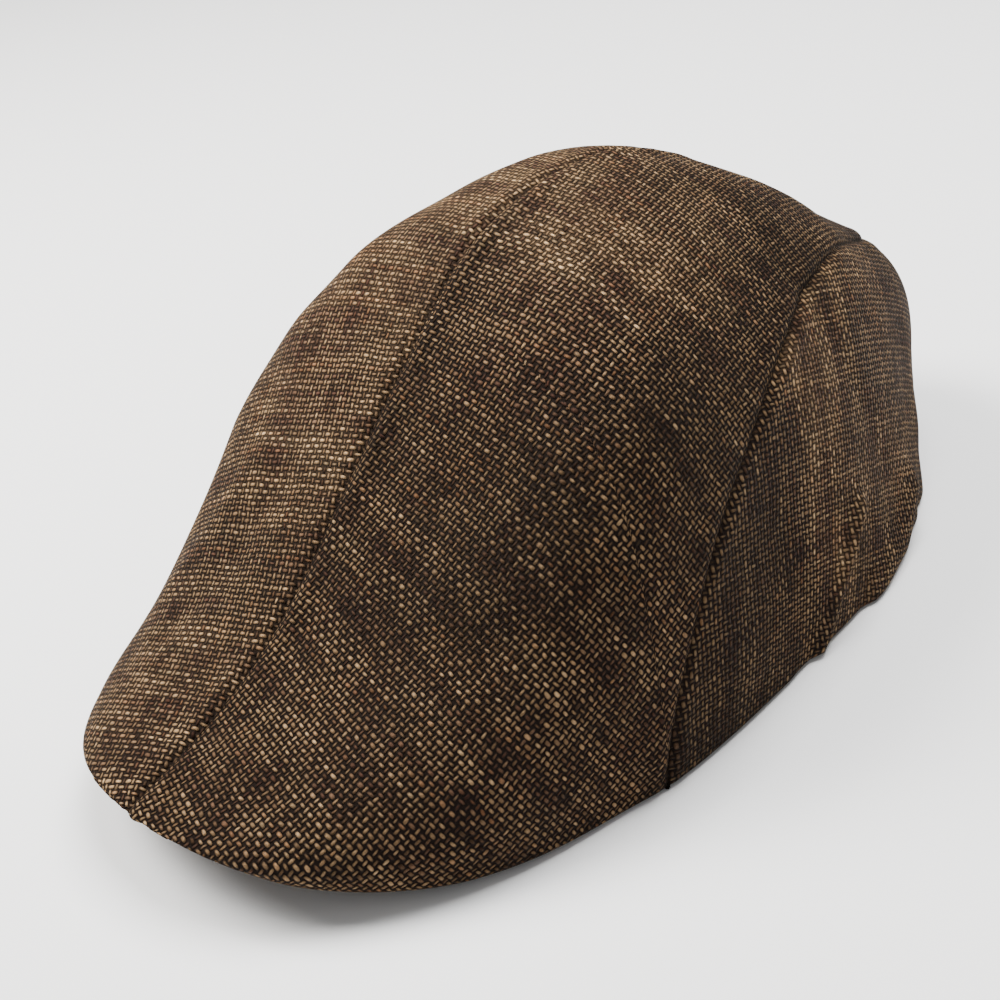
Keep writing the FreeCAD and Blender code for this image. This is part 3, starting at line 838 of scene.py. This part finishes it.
coverLow = billRows(bill["coverRise"], bill["edgeInset"], 0, bill["steps"], bill["lines"])
coverHigh = coverLow + [0, 0, bill["coverThickness"]]
edgeShare = np.linspace(0, 1, bill["lines"] + 1)
sag = 0.25 * np.sin(np.pi * edgeShare) * (1 + 0.6 * waves(coverLow, 30, 21))
coverLow = coverLow - np.stack([0 * sag, 0 * sag, sag], axis=2) * (coverLow[..., 2:] > 1)
# the underbill's colour is darkened a little as painted shade
underCover, extent, area = stackedPiece("cloth_underbill", coverLow, coverHigh, wovenCloth,
                                        ["underbill_cover"], fields=[("paintedLight", 0.9)])
print("bill made")


# Lining

lining = {"depth": 1.35, "thickness": 0.5, "lift": 3.2, "rows": 160, "columns": 92}


def liningPanel(part, side):
    grids = [panelGrid(innerArch, lining["depth"] + depth, lining["lift"], part,
                       lining["rows"], lining["columns"]) for depth in (0, lining["thickness"])]
    if side == "right":
        grids = [(grid * [-1, 1, 1])[::-1] for grid in grids]
    places = flatLayout(grids[0], 4, 0)
    skin = grids[0].reshape(-1, 3)
    mirrored = np.c_[np.abs(skin[:, 0]), skin[:, 1:]]
    sunk = np.minimum(slowRelief(skin, nearest(mirrored, rimLine)[0]), 0)
    points, ids, _ = weld(grids[0])
    normals = normalsOf(points, gridFaces(ids))
    if (normals * (points - [0, 0, 40])).sum() < 0:
        normals = -normals
    shift = normals[ids] * sunk.reshape(ids.shape)[..., None]
    grids = [grid + shift for grid in grids]
    name = "lining_cloth_" + part + "_" + side
    piece, extent, area = stackedPiece(name, grids[1], grids[0], liningCloth,
                                       ["lining_" + part + "_" + side], places)


for panelPart in ("top", "side"):
    for panelSide in ("left", "right"):
        liningPanel(panelPart, panelSide)
print("lining made")


# Head band, elastic, labels and stitches on the inner wall


def wallLine(riseBy, depth):
    def point(shares):
        foot, top, base = innerArch(shares, depth)
        power = powerAt(shares)
        up = np.minimum(1, riseBy / np.maximum(top[1] - base, 1e-9))
        across = (1 - up ** power) ** (1 / power)
        y = foot[1] + (top[0] - foot[1]) * up ** (0.6 * power)
        return np.c_[foot[0] * across, y, base + riseBy]

    def height(share):
        _, top, base = innerArch(np.array([share]), depth)
        return float(top[1][0] - base[0])
    lines = []
    for end in (0, 1):
        limit = crossing(lambda share: height(share) > riseBy, widest, end) if riseBy else end
        line = point(limit + (widest - limit) * np.linspace(0, 1, 241) ** (2.4 if riseBy else 1))
        line[0, 0] = 0
        lines.append(line)
    return lines[0], lines[1][::-1]


def frontLine(riseBy, depth):
    ahead = wallLine(riseBy, depth)[0]
    return np.r_[(ahead * [-1, 1, 1])[::-1][:-1], ahead]


def backLine(riseBy, depth):
    behind = wallLine(riseBy, depth)[1]
    return np.r_[behind, (behind * [-1, 1, 1])[::-1][1:]]


def spaced(line, count, start=0.0, end=None):
    travelled = np.r_[0, np.cumsum(np.linalg.norm(np.diff(line, axis=0), axis=1))]
    goals = np.linspace(start, travelled[-1] if end is None else end, count)
    return np.stack([np.interp(goals, travelled, line[:, k]) for k in range(3)], axis=1), goals


band = {"depth": 3.35, "thickness": 1.0, "low": 0.35, "high": 32.0, "pleat": 0.75, "pleatPitch": 8.5,
        "edgeRadius": 0.45, "rows": 44, "frontColumns": 220, "backColumns": 520}


# How far the gathered band stands off the wall towards the head
def bandLift(points):
    x, y, z = (points[..., k] for k in range(3))
    share = smooth(18, 48, y) * smooth(0, 5, z) * smooth(34, 27, z)
    angle = np.arctan2(x, y - 30) * 98
    folds = np.sin(2 * np.pi * angle / band["pleatPitch"] + 1.1 * waves(points, 30, 31))
    return share * band["pleat"] * (0.55 + 0.45 * folds)


def wallSheet(lineAt, low, high, depth, thickness, rows, columns, place=None, length=None, lifted=True):
    sides, places = [], None
    for sideDepth in (depth, depth + thickness):
        grid, uv = [], []
        for k in range(rows + 1):
            line = lineAt(low + (high - low) * k / rows, sideDepth)
            total = np.linalg.norm(np.diff(line, axis=0), axis=1).sum()
            if length is None:
                points, goals = spaced(line, columns + 1)
            else:
                middle = total / 2 if place is None else place
                points, goals = spaced(line, columns + 1, middle - length / 2, middle + length / 2)
            grid.append(points)
            uv.append(np.c_[goals, np.full(columns + 1, low + (high - low) * k / rows)])
        sides.append(np.array(grid))
        places = np.array(uv)
    wall, head = sides
    towards = head - wall
    towards /= np.maximum(np.linalg.norm(towards, axis=2, keepdims=True), 1e-9)
    if lifted:
        off = bandLift(wall)[..., None] * towards
        wall, head = wall + off, head + off
    level = np.linspace(low, high, rows + 1)
    inside = np.clip(band["edgeRadius"] - np.minimum(level - low, high - level), 0, band["edgeRadius"])
    tuck = band["edgeRadius"] - np.sqrt(band["edgeRadius"] ** 2 - inside**2)
    head = head - towards * np.minimum(tuck, thickness * 0.4)[:, None, None]
    return head, wall, places


def addWallPiece(name, sheetSides, material, node):
    head, wall, places = sheetSides
    piece, extent, area = stackedPiece(name, head, wall, material, [node], places)
    return piece


elastic = {"low": 6.0, "high": 26.0, "depth": 2.2, "thickness": 0.8, "length": 250.0}
addWallPiece("elastic_tape_back", wallSheet(backLine, elastic["low"], elastic["high"], elastic["depth"],
                                            elastic["thickness"], 12, 160, length=elastic["length"],
                                            lifted=False),
             elasticTape, "back_elastic")
for name, lineAt, held in (("front", frontLine, "stretched"), ("back", backLine, "gathered")):
    addWallPiece("band_" + name, wallSheet(lineAt, band["low"], band["high"], band["depth"],
                                           band["thickness"], band["rows"], band[name + "Columns"]),
                 bandCloth, "sweatband_" + name)
print("band made")

labels = {"depth": 4.47, "thickness": 0.35, "low": 7.0, "sizeLength": 26.0, "sizeHigh": 23.0,
          "careLength": 24.0, "careHigh": 27.0, "carePlace": 120.0}
for name, place, length, high in (("size_label", None, labels["sizeLength"], labels["sizeHigh"]),
                                  ("care_label", labels["carePlace"], labels["careLength"],
                                   labels["careHigh"])):
    addWallPiece(name + "_tape", wallSheet(backLine, labels["low"], high, labels["depth"],
                                           labels["thickness"], 24, 36, place, length),
                 labelCloth, name)


# Geometry nodes: a short round stitch at each step along a curve
def stitchGroup():
    tree = bpy.data.node_groups.new("stitchRow", "GeometryNodeTree")
    tree.interface.new_socket("Geometry", in_out="INPUT", socket_type="NodeSocketGeometry")
    for label in ("Pitch", "Length", "Thread"):
        tree.interface.new_socket(label, in_out="INPUT", socket_type="NodeSocketFloat")
    tree.interface.new_socket("Material", in_out="INPUT", socket_type="NodeSocketMaterial")
    tree.interface.new_socket("Geometry", in_out="OUTPUT", socket_type="NodeSocketGeometry")
    given, result = tree.nodes.new("NodeGroupInput").outputs, tree.nodes.new("NodeGroupOutput").inputs
    steps = addNode(tree, "GeometryNodeCurveToPoints",
                    {"Curve": given["Geometry"], "Length": given["Pitch"]}, mode="LENGTH")
    ball = addNode(tree, "GeometryNodeMeshUVSphere", {"Segments": 8, "Rings": 6, "Radius": 0.5})
    size = combine(tree, given["Thread"], given["Thread"], given["Length"])
    placed = addNode(tree, "GeometryNodeInstanceOnPoints", {
        "Points": steps.outputs["Points"], "Instance": ball.outputs["Mesh"],
        "Rotation": steps.outputs["Rotation"], "Scale": size})
    real = addNode(tree, "GeometryNodeRealizeInstances", {"Geometry": placed.outputs[0]})
    painted = addNode(tree, "GeometryNodeSetMaterial", {"Geometry": real.outputs[0],
                                                        "Material": given["Material"]})
    tree.links.new(painted.outputs[0], result["Geometry"])
    return tree


stitchRow = stitchGroup()
stitches = {"pitch": 5.0, "length": 3.4, "thread": 0.55, "depth": 4.6,
            "footRise": 3.5, "casingRise": 28.5}


def addStitches(name, lines, node):
    curve = bpy.data.curves.new(name, "CURVE")
    curve.dimensions = "3D"
    for line in lines:
        spline = curve.splines.new("POLY")
        spline.points.add(len(line) - 1)
        for point, spot in zip(spline.points, line * millimetre):
            point.co = (*spot, 1)
    source = bpy.data.objects.new(name + "_path", curve)
    bpy.context.scene.collection.objects.link(source)
    modifier = source.modifiers.new("stitches", "NODES")
    modifier.node_group = stitchRow
    values = {"Pitch": stitches["pitch"] * millimetre, "Length": stitches["length"] * millimetre,
              "Thread": stitches["thread"] * millimetre, "Material": threadLook}
    for item in stitchRow.interface.items_tree:
        if item.item_type == "SOCKET" and item.in_out == "INPUT" and item.name in values:
            modifier[item.identifier] = values[item.name]
    bpy.context.view_layer.update()
    mesh = bpy.data.meshes.new_from_object(source.evaluated_get(bpy.context.evaluated_depsgraph_get()))
    mesh.uv_layers.new(name="cloth")
    bpy.data.objects.remove(source)
    addPiece(name, mesh, threadLook, [node])


def stitchLine(lineAt, riseBy):
    wall, head = lineAt(riseBy, stitches["depth"]), lineAt(riseBy, stitches["depth"] + 1)
    points, _ = spaced(wall, 600)
    ahead, _ = spaced(head, 600)
    towards = ahead - points
    towards /= np.linalg.norm(towards, axis=1, keepdims=True)
    return points + towards * bandLift(points)[:, None]


addStitches("foot_thread", [stitchLine(frontLine, stitches["footRise"]),
                            stitchLine(backLine, stitches["footRise"])], "band_stitches")
addStitches("casing_thread", [stitchLine(backLine, stitches["casingRise"])], "casing_stitches")
print("labels and stitches made")


# Floor, light and camera

floorMaterial = bpy.data.materials.new("pale_floor")
floorMaterial.use_nodes = True
floorShader = floorMaterial.node_tree.nodes["Principled BSDF"].inputs
floorShader["Base Color"].default_value = (0.95, 0.95, 0.95, 1)
floorShader["Roughness"].default_value = 0.9
floorMesh = bpy.data.meshes.new("floor")
floorMesh.from_pydata([(-6, -6, 0), (6, -6, 0), (6, 6, 0), (-6, 6, 0)], [], [(0, 1, 2, 3)])
floorMesh.materials.append(floorMaterial)
floor = bpy.data.objects.new("floor", floorMesh)
bpy.context.scene.collection.objects.link(floor)

camera = {"turn": 50.27, "height": 30.57, "roll": -8.18, "distance": 0.44867, "lens": 60.26,
          "target": (0.0, -0.0108, 0.050), "shiftX": -0.01097, "shiftY": -0.03747}
turn, high, roll = (math.radians(camera[key]) for key in ("turn", "height", "roll"))
back = Vector((math.sin(turn) * math.cos(high), -math.cos(turn) * math.cos(high), math.sin(high)))
right = Vector((math.cos(turn), math.sin(turn), 0))
up = back.cross(right)
acrossView = math.cos(roll) * right + math.sin(roll) * up
upView = -math.sin(roll) * right + math.cos(roll) * up
lens = bpy.data.cameras.new("camera")
lens.lens = camera["lens"]
lens.sensor_width = 36
lens.clip_start = 0.01
lens.shift_x, lens.shift_y = camera["shiftX"], camera["shiftY"]
viewer = bpy.data.objects.new("camera", lens)
bpy.context.scene.collection.objects.link(viewer)
turned = Matrix((acrossView, upView, back)).transposed().to_4x4()
viewer.matrix_world = Matrix.Translation(Vector(camera["target"]) + back * camera["distance"]) @ turned
bpy.context.scene.camera = viewer

# name, direction (across the view, up, towards the viewer), distance, width, power, colour
lights = [("key", (-0.85, 1.15, -0.25), 1.1, 0.55, 24.0, (1.0, 0.98, 0.95)),
          ("fill", (0.9, 0.6, 0.7), 1.4, 1.0, 1.2, (0.97, 0.98, 1.0)),
          ("top", (0.25, 1.0, -0.2), 1.2, 0.7, 27.0, (1.0, 1.0, 1.0))]
for name, way, distance, width, power, colour in lights:
    lamp = bpy.data.lights.new(name, "AREA")
    lamp.size = width
    lamp.energy = power
    lamp.color = colour
    lit = bpy.data.objects.new(name, lamp)
    bpy.context.scene.collection.objects.link(lit)
    flatBack = Vector((back.x, back.y, 0)).normalized()
    spot = (right * way[0] + Vector((0, 0, 1)) * way[1] + flatBack * way[2]).normalized() * distance
    lit.matrix_world = Matrix.Translation(spot) @ spot.to_track_quat("Z", "Y").to_matrix().to_4x4()
world = bpy.data.worlds.new("studio")
world.use_nodes = True
world.node_tree.nodes["Background"].inputs[0].default_value = (1.0, 1.0, 1.0, 1)
world.node_tree.nodes["Background"].inputs[1].default_value = 0.36
bpy.context.scene.world = world
print("stage made")
